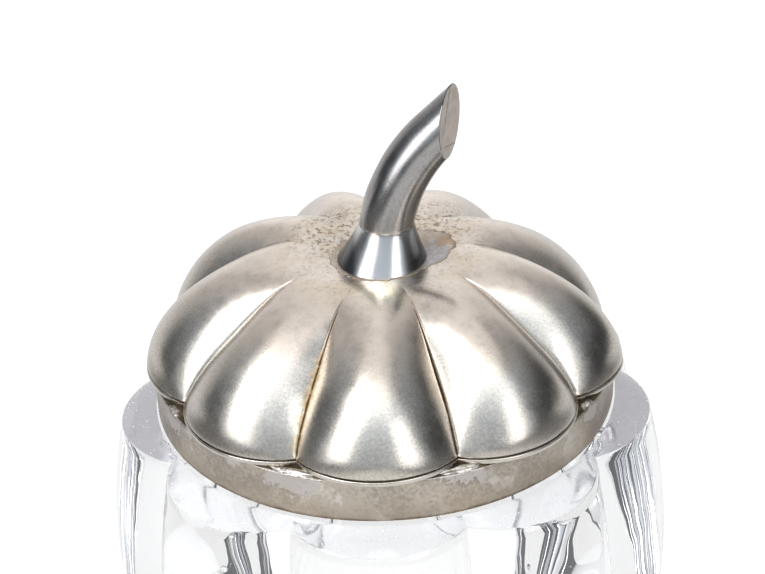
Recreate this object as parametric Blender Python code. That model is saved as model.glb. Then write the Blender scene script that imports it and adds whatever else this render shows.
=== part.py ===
"""Lidded melon jar: a thick crystal jar with nine lobes and a soldered silver lid with a bent stalk for knob.

Metres, +Z up. The origin is the centre of the jar's flat base. Lobe 0 faces -Y and the stalk bends to +X.
"""

import math

import bmesh
import bpy
from mathutils import Vector

# Outline shared by the jar and its lid: nine round lobes that meet in sharp valleys.
LOBES = 9
LOBE_STEP = math.tau / LOBES
STEPS_PER_LOBE = 8
ROUND_STEPS = 72

# Clearances between touching pieces.
SOLDERED_GAP = 0.0002
LOOSE_GAP = 0.0003

# Crystal jar.
RIM_Z = 0.0420
BULGE_Z = 0.0230
BULGE_RADIUS = 0.0338
RIM_RADIUS = 0.03155
BASE_RADIUS = 0.0250
BASE_FLAT_RADIUS = 0.0215
VALLEY_DEPTH = 0.0036
BASE_VALLEY_DEPTH = 0.0016
SHOULDER_RADIUS = 0.0273
SHOULDER_Z = 0.0431
NECK_RADIUS = 0.0256
NECK_TOP_Z = 0.0476
LIP_ROUND = 0.0006
WELL_RADIUS = 0.0205
WELL_FLOOR_Z = 0.0085
WELL_CORNER = 0.0120

# Lid: the band slips over the neck, the rim plate and the dome are soldered on top of it.
BAND_RADIUS = 0.02709
BAND_THICKNESS = 0.0009
BAND_Z = SHOULDER_Z + LOOSE_GAP
BAND_TOP_Z = 0.04855
PLATE_THICKNESS = 0.00055
PLATE_OVERHANG = 0.00008
PLATE_HOLE_RADIUS = 0.0236
DOME_RADIUS = 0.0280
DOME_VALLEY_RADIUS = 0.02549
DOME_HEIGHT = 0.01295
DOME_THICKNESS = 0.0007
DOME_SIDE_POWER = 2.86
DOME_TOP_POWER = 1.63
CROWN_DISH_DEPTH = 0.0027
CROWN_DISH_RADIUS = 0.0083
VALLEYS_START_RADIUS = 0.0073
VALLEYS_FULL_RADIUS = 0.0221
VALLEY_SWELL = 0.29

# The dome was raised by eye: how far each lobe's crest stands out (+) or falls short (-).
LOBE_TRIM = (0.0001, 0.0003, 0.0002, -0.0006, 0.0, 0.0, -0.0001, -0.0002, -0.0001)

# Three of its valleys wander: angle, then the turn at the shoulder and at the edge.
WANDERS_IN_DEGREES = ((100.0, 0.0, -6.5), (-100.0, -8.0, 0.0), (-140.0, -5.0, -5.0))
VALLEY_WANDER = [tuple(math.radians(turn) for turn in turns) for turns in WANDERS_IN_DEGREES]
WANDER_SPREAD = math.radians(18.0)

# Knob: a flared foot in the dished crown, and a bent stalk with an oblique end.
STALK_TURN = math.radians(3.0)
FOOT_RADIUS = 0.00515
FOOT_EDGE = 0.0003
FOOT_TOP_Z = 0.0651
FOOT_FLARE_POWER = 1.2
FOOT_OFFSET = 0.0003
STALK_BASE_OFFSET = 0.00105
STALK_BASE_RADIUS = 0.00315
STALK_END_RADIUS = 0.00282
STALK_BASE_LEAN = math.radians(10.6)
STALK_END_LEAN = math.radians(47.0)
STALK_BEND_LENGTH = 0.0126
STALK_CUT_AT = 0.0146
STALK_LENGTH = 0.0206
CUT_TURN = math.radians(-24.7)
CUT_TILT = math.radians(2.4)

# Solder: a collar run round the foot, and a tack in each notch of the rim plate.
COLLAR_RADIUS = 0.0063
COLLAR_WAVE = 0.0002
SPILL_RADIUS = 0.0092
SPILL_TURN = math.radians(105.0)
SPILL_SPREAD = 0.6
COLLAR_THICKNESS = 0.0004
TACK_INNER_RADIUS = 0.02595
TACK_OUTER_RADIUS = 0.02675
TACK_HALF_WIDTH = 0.00095
TACK_HEIGHT = 0.0005

PLATE_Z = BAND_TOP_Z + SOLDERED_GAP
PLATE_TOP_Z = PLATE_Z + PLATE_THICKNESS
DOME_Z = PLATE_TOP_Z + SOLDERED_GAP


def clear_scene():
    for obj in list(bpy.data.objects):
        bpy.data.objects.remove(obj, do_unlink=True)


def material(name, colour, roughness, metallic, transmission=0.0):
    made = bpy.data.materials.new(name)
    made.use_nodes = True
    shader = made.node_tree.nodes["Principled BSDF"]
    shader.inputs["Base Color"].default_value = (*colour, 1.0)
    shader.inputs["Roughness"].default_value = roughness
    shader.inputs["Metallic"].default_value = metallic
    shader.inputs["Transmission Weight"].default_value = transmission
    return made


def outline_angles():
    """Angles round the outline, counted from -Y towards +X, with one point exactly in every valley."""
    count = LOBES * STEPS_PER_LOBE
    return [LOBE_STEP * (i / STEPS_PER_LOBE - 0.5) for i in range(count)]


def lobe_outline(angle, crest, valley):
    """Radius of an outline whose lobes are arcs of a circle through their two valleys and their crest."""
    half = LOBE_STEP / 2
    off_crest = (angle + half) % LOBE_STEP - half
    chord, sagitta = valley * math.sin(half), crest - valley * math.cos(half)
    arc = (chord**2 + sagitta**2) / (2 * sagitta)
    centre = crest - arc
    along = centre * math.cos(off_crest)
    return along + math.sqrt(max(along**2 - centre**2 + arc**2, 0.0))


def at(angle, radius, z):
    return Vector((radius * math.sin(angle), -radius * math.cos(angle), z))


def wandered(angle, radius):
    """The angle with the valleys' wander added, at a point of the dome with that crest radius."""
    outer = min(max((radius - 0.015) / (DOME_RADIUS - 0.015), 0.0), 1.0)
    inner = min(max((radius - VALLEYS_START_RADIUS) / 0.004, 0.0), 1.0)
    turned = angle
    for place, shoulder, edge in VALLEY_WANDER:
        away = (angle - place + math.pi) % math.tau - math.pi
        turned += (shoulder + (edge - shoulder) * outer) * inner * math.exp(-((away / WANDER_SPREAD) ** 2))
    return turned


def round_ring(radius, z, angles=None, centre_x=0.0):
    shift = Vector((centre_x, 0.0, 0.0))
    return [at(angle, radius, z) + shift for angle in angles or outline_angles()]


def loft(name, rings, finish, closed_tube=False):
    """One closed mesh through rings of equal length; a ring of one point is a pole."""
    bm = bmesh.new()
    loops = [[bm.verts.new(point) for point in ring] for ring in rings]
    pairs = list(zip(loops, loops[1:]))
    if closed_tube:
        pairs.append((loops[-1], loops[0]))
    for low, high in pairs:
        for i in range(max(len(low), len(high))):
            corners = [low[i % len(low)], low[(i + 1) % len(low)]]
            corners += [high[(i + 1) % len(high)], high[i % len(high)]]
            bm.faces.new(list(dict.fromkeys(corners)))
    if not closed_tube:
        for loop in (loops[0], loops[-1]):
            if len(loop) > 1:
                bm.faces.new(loop)
    bmesh.ops.recalc_face_normals(bm, faces=bm.faces)
    mesh = bpy.data.meshes.new(name)
    bm.to_mesh(mesh)
    bm.free()
    return add_piece(name, mesh, finish)


def add_piece(name, mesh, finish):
    mesh.shade_smooth()
    mesh.set_sharp_from_angle(angle=math.radians(30))
    mesh.materials.append(finish)
    obj = bpy.data.objects.new(name, mesh)
    bpy.context.scene.collection.objects.link(obj)
    return obj


def body_radius(z):
    """Crest radius of the jar's barrel side at height z."""
    if z >= BULGE_Z:
        share = (z - BULGE_Z) / (RIM_Z - BULGE_Z)
        return BULGE_RADIUS - (BULGE_RADIUS - RIM_RADIUS) * share**2
    share = (BULGE_Z - z) / BULGE_Z
    return BASE_RADIUS + (BULGE_RADIUS - BASE_RADIUS) * (1 - share**2.2) ** (1 / 1.4)


def body_ring(z):
    crest = body_radius(z)
    depth = BASE_VALLEY_DEPTH + (VALLEY_DEPTH - BASE_VALLEY_DEPTH) * min(z / BULGE_Z, 1.0)
    return [at(angle, lobe_outline(angle, crest, crest - depth), z) for angle in outline_angles()]


def make_jar_body(finish):
    rings = [[Vector((0.0, 0.0, 0.0))], round_ring(BASE_FLAT_RADIUS, 0.0)]
    rings += [body_ring(z * 0.001) for z in (0.0, 0.6, 2.0, 4.5, 8.0, 12.5, 18.0, 23.0, 29.0, 35.0, 39.5)]
    rings.append(body_ring(RIM_Z))
    rings.append(round_ring(SHOULDER_RADIUS, SHOULDER_Z))
    rings.append(round_ring(NECK_RADIUS, SHOULDER_Z))
    for turn in (0.0, 45.0, 90.0):
        over, up = math.cos(math.radians(turn)), math.sin(math.radians(turn))
        rings.append(round_ring(NECK_RADIUS + LIP_ROUND * (over - 1), NECK_TOP_Z + LIP_ROUND * (up - 1)))
    for turn in (90.0, 45.0, 0.0):
        over, up = math.cos(math.radians(turn)), math.sin(math.radians(turn))
        rings.append(round_ring(WELL_RADIUS - LIP_ROUND * (over - 1), NECK_TOP_Z + LIP_ROUND * (up - 1)))
    for turn in (0.0, 22.5, 45.0, 67.5, 90.0):
        out, down = math.cos(math.radians(turn)), math.sin(math.radians(turn))
        radius = WELL_RADIUS + WELL_CORNER * (out - 1)
        rings.append(round_ring(radius, WELL_FLOOR_Z + WELL_CORNER * (1 - down)))
    rings.append([Vector((0.0, 0.0, WELL_FLOOR_Z))])
    return loft("jar_body", rings, finish)


def make_lid_band(finish):
    chamfer = 0.00015
    inner = BAND_RADIUS - BAND_THICKNESS
    section = (
        (inner, BAND_Z),
        (BAND_RADIUS - chamfer, BAND_Z),
        (BAND_RADIUS, BAND_Z + chamfer),
        (BAND_RADIUS, BAND_TOP_Z - chamfer),
        (BAND_RADIUS - chamfer, BAND_TOP_Z),
        (inner, BAND_TOP_Z),
    )
    return loft("lid_band", [round_ring(r, z) for r, z in section], finish, closed_tube=True)


def dome_edge(angle):
    """Radius of the dome's lower edge, with each lobe's own crest."""
    lobe = math.floor((angle + LOBE_STEP / 2) / LOBE_STEP) % LOBES
    return lobe_outline(angle, DOME_RADIUS + LOBE_TRIM[lobe], DOME_VALLEY_RADIUS)


def plate_ring(z):
    edge = [(wandered(angle, DOME_RADIUS), dome_edge(angle) + PLATE_OVERHANG) for angle in outline_angles()]
    return [at(angle, radius, z) for angle, radius in edge]


def make_lid_rim_plate(finish):
    rings = [round_ring(PLATE_HOLE_RADIUS, PLATE_Z), plate_ring(PLATE_Z)]
    rings += [plate_ring(PLATE_TOP_Z), round_ring(PLATE_HOLE_RADIUS, PLATE_TOP_Z)]
    return loft("lid_rim_plate", rings, finish, closed_tube=True)


def crown_dish(radius):
    return CROWN_DISH_DEPTH * math.exp(-((radius / CROWN_DISH_RADIUS) ** 2))


def dome_point(angle, turn, inwards):
    """A point of the dome. turn runs from 0 at the crown to a quarter turn at the edge.

    The crests follow a superellipse with a dished crown, and the valleys sink along its normal.
    """
    radius = DOME_RADIUS * math.sin(turn) ** (2 / DOME_SIDE_POWER)
    height = DOME_HEIGHT * max(math.cos(turn), 0.0) ** (2 / DOME_TOP_POWER)
    out = DOME_SIDE_POWER * (radius / DOME_RADIUS) ** (DOME_SIDE_POWER - 1) / DOME_RADIUS
    up = DOME_TOP_POWER * (height / DOME_HEIGHT) ** (DOME_TOP_POWER - 1) / DOME_HEIGHT
    normal = Vector((out, up)).normalized()
    share = (radius - VALLEYS_START_RADIUS) / (VALLEYS_FULL_RADIUS - VALLEYS_START_RADIUS)
    share = min(max(share, 0.0), 1.0)
    share = share * share * (3 - 2 * share) * (1 + VALLEY_SWELL * math.sin(2 * turn))
    sink = (DOME_RADIUS - dome_edge(angle)) * share + inwards
    z = DOME_Z + height - crown_dish(radius) - normal.y * sink
    return at(wandered(angle, radius), radius - normal.x * sink, z)


def make_lid_dome(finish):
    turns = [math.radians(a) for a in (3, 8, 14, 21, 29, 38, 48, 58, 68, 78, 85, 90)]
    angles = outline_angles()
    outer = [[dome_point(angle, turn, 0.0) for angle in angles] for turn in turns]
    inner = [[dome_point(angle, turn, DOME_THICKNESS) for angle in angles] for turn in turns]
    crown, under = dome_point(0.0, 0.0, 0.0), dome_point(0.0, 0.0, DOME_THICKNESS)
    return loft("lid_dome", [[crown], *outer, *reversed(inner), [under]], finish)


def crown_z(radius):
    """Height of the dished crown at a small radius, where the valleys haven't begun."""
    height = DOME_HEIGHT * (1 - (radius / DOME_RADIUS) ** DOME_SIDE_POWER) ** (1 / DOME_TOP_POWER)
    return DOME_Z + height - crown_dish(radius)


def make_stalk_foot(finish):
    bottom = crown_z(FOOT_RADIUS) + SOLDERED_GAP
    angles = [math.tau * i / 32 for i in range(32)]
    rings = [round_ring(FOOT_RADIUS, bottom, angles, FOOT_OFFSET)]
    flare_height = FOOT_TOP_Z - bottom - FOOT_EDGE
    for share in (0.0, 0.2, 0.4, 0.6, 0.8, 1.0):
        radius = STALK_BASE_RADIUS + (FOOT_RADIUS - STALK_BASE_RADIUS) * (1 - share) ** FOOT_FLARE_POWER
        shift = FOOT_OFFSET + (STALK_BASE_OFFSET - FOOT_OFFSET) * share
        rings.append(round_ring(radius, bottom + FOOT_EDGE + flare_height * share, angles, shift))
    foot = loft("stalk_foot", rings, finish)
    foot.rotation_euler.z = STALK_TURN
    return foot


def stalk_path(steps):
    """Centre line in the XZ plane as (x, z, lean): it leans more and more, then runs straight."""
    x, z = STALK_BASE_OFFSET, FOOT_TOP_Z + SOLDERED_GAP
    pace = STALK_LENGTH / steps
    path = []
    for i in range(steps + 1):
        share = min(i * pace / STALK_BEND_LENGTH, 1.0)
        lean = STALK_BASE_LEAN + (STALK_END_LEAN - STALK_BASE_LEAN) * share
        path.append((x, z, lean))
        x, z = x + pace * math.sin(lean), z + pace * math.cos(lean)
    return path


def make_stalk(finish):
    steps, sides = 24, 24
    rings = []
    path = stalk_path(steps)
    for i, (x, z, lean) in enumerate(path):
        radius = STALK_BASE_RADIUS + (STALK_END_RADIUS - STALK_BASE_RADIUS) * i / steps
        lean = lean if i else 0.0
        across = Vector((math.cos(lean), 0.0, -math.sin(lean)))
        ring = []
        for side in range(sides):
            turn = math.tau * side / sides
            offset = across * math.cos(turn) + Vector((0.0, math.sin(turn), 0.0))
            ring.append(Vector((x, 0.0, z)) + offset * radius)
        rings.append(ring)
    stalk = loft("stalk", rings, finish)
    cut_x, cut_z, _ = path[round(steps * STALK_CUT_AT / STALK_LENGTH)]
    level = math.cos(CUT_TILT)
    normal = Vector((level * math.cos(CUT_TURN), level * math.sin(CUT_TURN), math.sin(CUT_TILT)))
    bm = bmesh.new()
    bm.from_mesh(stalk.data)
    geometry = bm.verts[:] + bm.edges[:] + bm.faces[:]
    cut = bmesh.ops.bisect_plane(
        bm, geom=geometry, plane_co=Vector((cut_x, 0.0, cut_z)), plane_no=normal, clear_outer=True
    )
    edges = [item for item in cut["geom_cut"] if isinstance(item, bmesh.types.BMEdge)]
    bmesh.ops.edgeloop_fill(bm, edges=edges)
    bmesh.ops.recalc_face_normals(bm, faces=bm.faces)
    bm.to_mesh(stalk.data)
    bm.free()
    stalk.data.set_sharp_from_angle(angle=math.radians(30))
    stalk.rotation_euler.z = STALK_TURN
    return stalk


def make_stalk_solder(finish):
    """The run of solder that lies on the dished crown round the foot, and spills wide on the stalk's side."""
    angles = [math.tau * i / 48 for i in range(48)]
    inner = FOOT_RADIUS + FOOT_OFFSET + SOLDERED_GAP

    def ring(share, lift):
        points = []
        for angle in angles:
            wave = math.sin(3 * angle + 0.6) + 0.5 * math.sin(7 * angle + 2.0)
            spill = (SPILL_RADIUS - COLLAR_RADIUS) * math.exp(-(((angle - SPILL_TURN) / SPILL_SPREAD) ** 2))
            radius = inner + (COLLAR_RADIUS + COLLAR_WAVE * wave + spill - inner) * share
            points.append(at(angle, radius, crown_z(radius) + SOLDERED_GAP + lift))
        return points

    edge = 0.35 * COLLAR_THICKNESS
    rings = [ring(0.0, 0.0), ring(0.5, 0.0), ring(1.0, 0.0), ring(1.0, edge)]
    rings += [ring(0.5, COLLAR_THICKNESS), ring(0.0, COLLAR_THICKNESS)]
    return loft("stalk_solder", rings, finish, closed_tube=True)


def make_rim_solder(finish):
    """One tack of solder in each notch of the rim plate, on the band's top edge."""
    for i in range(LOBES):
        half = TACK_HALF_WIDTH / TACK_OUTER_RADIUS
        corners = ((0.0, TACK_INNER_RADIUS), (half, TACK_OUTER_RADIUS), (-half, TACK_OUTER_RADIUS))
        valley = wandered(LOBE_STEP * (i + 0.5), DOME_RADIUS)
        low = [at(valley + turn, radius, PLATE_Z) for turn, radius in corners]
        high = [point + Vector((0.0, 0.0, TACK_HEIGHT)) for point in low]
        loft(f"rim_solder_{i + 1}", [low, high], finish)


def main():
    clear_scene()
    crystal = material("crystal", (0.96, 0.97, 0.98), 0.04, 0.0, transmission=1.0)
    satin_silver = material("satin_silver", (0.74, 0.71, 0.66), 0.30, 1.0)
    worn_silver = material("worn_silver", (0.66, 0.62, 0.56), 0.42, 1.0)
    polished_silver = material("polished_silver", (0.78, 0.76, 0.73), 0.16, 1.0)
    solder = material("solder", (0.60, 0.54, 0.46), 0.55, 1.0)
    make_jar_body(crystal)
    make_lid_band(worn_silver)
    make_lid_rim_plate(satin_silver)
    make_lid_dome(satin_silver)
    make_stalk_foot(polished_silver)
    make_stalk(polished_silver)
    make_stalk_solder(solder)
    make_rim_solder(solder)


main()
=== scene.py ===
"""Melon jar with a silver lid: the visible pieces, their finishes and the studio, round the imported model.

Metres, +Z up. The origin is the centre of the jar's flat base.
Lobe 0 faces -Y and the stalk bends towards +X.
"""

import math

import bmesh
import bpy
from bpy.props import FloatProperty, FloatVectorProperty, IntProperty, PointerProperty
from mathutils import Matrix, Vector, noise


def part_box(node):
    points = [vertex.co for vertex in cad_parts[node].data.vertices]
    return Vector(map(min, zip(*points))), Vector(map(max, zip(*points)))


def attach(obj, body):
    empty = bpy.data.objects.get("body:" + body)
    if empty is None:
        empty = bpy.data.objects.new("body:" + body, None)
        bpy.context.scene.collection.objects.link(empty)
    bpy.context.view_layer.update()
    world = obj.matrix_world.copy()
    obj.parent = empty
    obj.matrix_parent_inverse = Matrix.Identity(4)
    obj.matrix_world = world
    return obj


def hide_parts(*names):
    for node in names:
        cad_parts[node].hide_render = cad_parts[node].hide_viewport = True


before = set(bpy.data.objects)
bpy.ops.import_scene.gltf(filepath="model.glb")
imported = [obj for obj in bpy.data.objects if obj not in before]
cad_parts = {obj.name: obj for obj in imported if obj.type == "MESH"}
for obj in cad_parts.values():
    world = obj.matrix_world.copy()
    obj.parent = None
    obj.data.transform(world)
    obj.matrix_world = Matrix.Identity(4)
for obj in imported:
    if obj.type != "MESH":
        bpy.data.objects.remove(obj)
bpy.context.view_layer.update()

bl_info = {
    "name": "Melon jar",
    "version": (1, 0, 0),
    "blender": (4, 5, 0),
    "location": "3D View > Sidebar > Melon jar",
    "description": "Makes a lobed crystal jar with a soldered silver lid and a bent stalk for a knob",
    "category": "Object",
}

JAR_LOW, JAR_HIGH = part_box("jar_body")
BAND_LOW, BAND_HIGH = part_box("lid_band")
PLATE_LOW, PLATE_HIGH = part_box("lid_rim_plate")
DOME_LOW, DOME_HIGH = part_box("lid_dome")
FOOT_LOW, FOOT_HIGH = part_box("stalk_foot")
STALK_LOW, STALK_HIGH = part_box("stalk")


# Properties: what a user would change.


def length(name, description, default):
    return FloatProperty(name=name, description=description, default=default, unit="LENGTH", precision=5)


def turn(name, description, degrees):
    return FloatProperty(
        name=name, description=description, default=math.radians(degrees), unit="ROTATION", subtype="ANGLE"
    )


def tint(name, description, default):
    return FloatVectorProperty(
        name=name, description=description, default=default, size=3, subtype="COLOR", min=0.0, max=1.0
    )


def share(name, description, default):
    return FloatProperty(
        name=name, description=description, default=default, subtype="FACTOR", min=0.0, max=1.0
    )


class OutlineSizes(bpy.types.PropertyGroup):
    """The lobed outline that the jar and its lid share."""

    lobes: IntProperty(name="Lobes", description="Lobes round the jar and its lid", default=9, min=3)
    steps: IntProperty(name="Steps", description="Columns of faces in one lobe", default=56, min=8)
    crowding: share("Crowding", "How much closer the columns lie near a valley", 0.72)


class JarSizes(bpy.types.PropertyGroup):
    """The crystal jar."""

    bulge_z: length("Bulge height", "Height of the widest level of the barrel", 0.0230)
    bulge_radius: length("Bulge radius", "Crest radius at the widest level", 0.0338)
    rim_z: length("Rim height", "Height of the ground rim's outer edge", 0.0420)
    rim_radius: length("Rim radius", "Crest radius of the ground rim", 0.03155)
    base_radius: length("Base radius", "Crest radius just above the flat base", 0.0250)
    base_flat: length("Base flat", "Radius of the flat base", 0.0215)
    valley: length("Valley depth", "Depth of the valleys at the rim", 0.0036)
    base_valley: length("Base valley depth", "Depth of the valleys at the base", 0.0016)
    shoulder_radius: length("Shoulder radius", "Radius where the ground rim meets the neck's seat", 0.0273)
    shoulder_z: length("Shoulder height", "Height of the seat under the lid's band", 0.0431)
    neck_radius: length("Neck radius", "Outer radius of the neck", 0.0256)
    well_radius: length("Well radius", "Radius of the well", 0.0205)
    well_floor: length("Well floor", "Height of the well's floor", 0.0085)
    well_corner: length("Well corner", "Radius of the curve from the well's side to its floor", 0.0120)
    lip: length("Lip", "Rounding of the neck's two top edges", 0.0006)
    arris: length("Arris", "Width of the small bevel ground on the rim's edge", 0.00022)


class DomeSizes(bpy.types.PropertyGroup):
    """The raised silver dome and the plate that it sits on."""

    radius: length("Radius", "Crest radius of the dome's edge", 0.0280)
    valley_radius: length("Valley radius", "Radius of the edge in a valley", 0.02549)
    height: length("Height", "Height of the crests' curve over the edge, without the dish", 0.01295)
    thickness: length("Thickness", "Thickness of the silver sheet", 0.0007)
    side_power: FloatProperty(name="Side power", description="How square the side is", default=2.86)
    top_power: FloatProperty(name="Top power", description="How pointed the top is", default=1.63)
    dish_depth: length("Dish depth", "Depth of the dished crown", 0.0027)
    dish_radius: length("Dish radius", "Radius of the dished crown", 0.0083)
    valley_start: length("Valley start", "Radius where the valleys begin", 0.0073)
    valley_full: length("Valley full", "Radius where the valleys are full", 0.0221)
    swell: share("Swell", "How much deeper the valleys are on the shoulder", 0.29)
    groove_depth: length("Groove depth", "Depth of the chased line in each valley", 0.00014)
    groove_width: length("Groove width", "Half width of the chased line in each valley", 0.0002)
    wave_height: length("Wave height", "Height of the waves left by raising by hand", 0.00004)
    wave_size: length("Wave size", "Size of the waves left by raising by hand", 0.006)
    trims: FloatVectorProperty(
        name="Trims",
        description="How far each lobe's crest stands out or falls short",
        size=9,
        unit="LENGTH",
        default=(0.0001, 0.0003, 0.0002, -0.0006, 0.0, 0.0, -0.0001, -0.0002, -0.0001),
    )
    wander_at: FloatVectorProperty(
        name="Wander at",
        description="Which valleys wander, as angles from the front",
        size=3,
        unit="ROTATION",
        default=tuple(map(math.radians, (100.0, 260.0, 220.0))),
    )
    wander_shoulder: FloatVectorProperty(
        name="Wander on the shoulder",
        description="How far each of them turns on the dome's shoulder",
        size=3,
        unit="ROTATION",
        default=tuple(map(math.radians, (0.0, -8.0, -5.0))),
    )
    wander_edge: FloatVectorProperty(
        name="Wander at the edge",
        description="How far each of them turns at the dome's edge",
        size=3,
        unit="ROTATION",
        default=tuple(map(math.radians, (-6.5, 0.0, -5.0))),
    )
    overhang: length("Overhang", "How far the rim plate stands out under the dome", 0.00008)
    hole_radius: length("Hole radius", "Radius of the hole in the rim plate", 0.0236)
    band_thickness: length("Band thickness", "Thickness of the round band", 0.0009)


class KnobSizes(bpy.types.PropertyGroup):
    """The foot, the bent stalk and the solder round them."""

    turned: turn("Turned", "How far the knob is turned from the X axis", 3.0)
    foot_radius: length("Foot radius", "Radius of the foot's lower edge", 0.00515)
    foot_offset: length("Foot offset", "How far the foot's lower edge is off centre", 0.0003)
    foot_power: FloatProperty(name="Foot power", description="How hollow the foot's flare is", default=1.2)
    stalk_offset: length("Stalk offset", "How far the stalk's lower end is off centre", 0.00105)
    stalk_radius: length("Stalk radius", "Radius of the stalk's lower end", 0.00315)
    end_radius: length("End radius", "Radius of the stalk's upper end", 0.00282)
    base_lean: turn("Base lean", "Lean of the stalk's lower end", 10.6)
    end_lean: turn("End lean", "Lean of the stalk's upper end", 47.0)
    bend_length: length("Bend length", "Length over which the lean grows", 0.0126)
    cut_at: length("Cut at", "Distance along the stalk to the middle of the cut", 0.0146)
    stalk_length: length("Stalk length", "Length of the rod before the cut", 0.0206)
    cut_turn: turn("Cut turn", "Turn of the cut face from the bend's plane", -24.7)
    cut_tilt: turn("Cut tilt", "Tilt of the cut face upwards", 2.4)
    cut_bevel: length("Cut bevel", "Rounding of the cut's edge", 0.00014)
    collar_radius: length("Collar radius", "Outer radius of the solder round the foot", 0.0056)
    collar_wave: length("Collar wave", "Waves in the solder's outer edge", 0.0004)
    spill_radius: length("Spill radius", "Outer radius of the flux spill on the stalk's side", 0.0092)
    collar_thickness: length("Collar thickness", "Thickness of the solder round the foot", 0.0004)


class Finishes(bpy.types.PropertyGroup):
    """Colours of the finishes."""

    silver: tint("Silver", "Silver with its thin warm tarnish", (0.68, 0.625, 0.555))
    clean_silver: tint("Clean silver", "Polished silver", (0.40, 0.385, 0.375))
    tarnish: tint("Tarnish", "Brown tarnish in the valleys", (0.16, 0.115, 0.070))
    stain: tint("Stain", "Yellow stain beside the tarnish", (0.62, 0.50, 0.31))
    band: tint("Band", "Coarse silver of the band", (0.56, 0.495, 0.42))
    solder: tint("Solder", "Filed silver solder", (0.66, 0.575, 0.49))
    cut: tint("Cut", "Matt end of the stalk", (0.62, 0.545, 0.48))
    amber: tint("Amber", "Burnt flux", (0.46, 0.30, 0.17))
    residue: tint("Residue", "Grey glaze of flux", (0.44, 0.41, 0.43))
    chip: tint("Chip", "White chips in the crystal's edges", (0.92, 0.93, 0.95))


class StudioSettings(bpy.types.PropertyGroup):
    """Camera and lights."""

    lens: FloatProperty(name="Lens", description="Focal length in millimetres", default=88.67, unit="CAMERA")
    distance: length("Distance", "From the camera to its target", 0.218678)
    azimuth: turn("Azimuth", "Turn of the camera towards +X", 3.04)
    elevation: turn("Elevation", "Height of the camera as an angle", 30.746)
    roll: turn("Roll", "Roll of the camera", -2.614)
    target_x: length("Target X", "Target's place to the camera's right", 0.000207)
    target_z: length("Target Z", "Target's height", 0.056561)
    left_box: FloatProperty(name="Left softbox", description="Radiance of the left softbox", default=3.1)
    right_box: FloatProperty(name="Right softbox", description="Radiance of the right softbox", default=2.1)
    near_floor: share("Near floor", "Light from the floor by the jar and behind", 0.62)
    far_floor: share("Far floor", "Light from the floor far away", 0.2)
    seen_floor: share("Seen floor", "Glow of the floor as it is seen", 0.95)


def settings():
    return bpy.context.scene.melon_jar


class MelonJarSettings(bpy.types.PropertyGroup):
    """Everything that the panel shows."""

    outline: PointerProperty(type=OutlineSizes)
    jar: PointerProperty(type=JarSizes)
    dome: PointerProperty(type=DomeSizes)
    knob: PointerProperty(type=KnobSizes)
    finishes: PointerProperty(type=Finishes)
    studio: PointerProperty(type=StudioSettings)


# Node trees.


class Field:
    """A number that flows through a node tree, with the usual operators."""

    def __init__(self, work, socket):
        self.work, self.socket = work, socket

    def math(self, operation, *others, clamp=False):
        values = (self, *others)
        made = self.work.add("ShaderNodeMath", operation=operation, use_clamp=clamp)
        for i, value in enumerate(values):
            self.work.put(value, made.inputs[i])
        return Field(self.work, made.outputs[0])

    def __add__(self, other):
        return self.math("ADD", other)

    def __sub__(self, other):
        return self.math("SUBTRACT", other)

    def __mul__(self, other):
        return self.math("MULTIPLY", other)

    def __truediv__(self, other):
        return self.math("DIVIDE", other)

    def __pow__(self, other):
        return self.math("POWER", other)

    def __radd__(self, other):
        return self + other

    def __rmul__(self, other):
        return self * other

    def __rsub__(self, other):
        return self * -1.0 + other

    def __rtruediv__(self, other):
        return self**-1.0 * other

    def sine(self):
        return self.math("SINE")

    def cosine(self):
        return self.math("COSINE")

    def floor(self):
        return self.math("FLOOR")

    def root(self):
        return self.math("MAXIMUM", 0.0).math("SQRT")

    def size(self):
        return self.math("ABSOLUTE")

    def hill(self, centre, width):
        """1 at the centre, falling as a bell with that half width."""
        return (((self - centre) / width) ** 2.0 * -1.0).math("EXPONENT")


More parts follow.
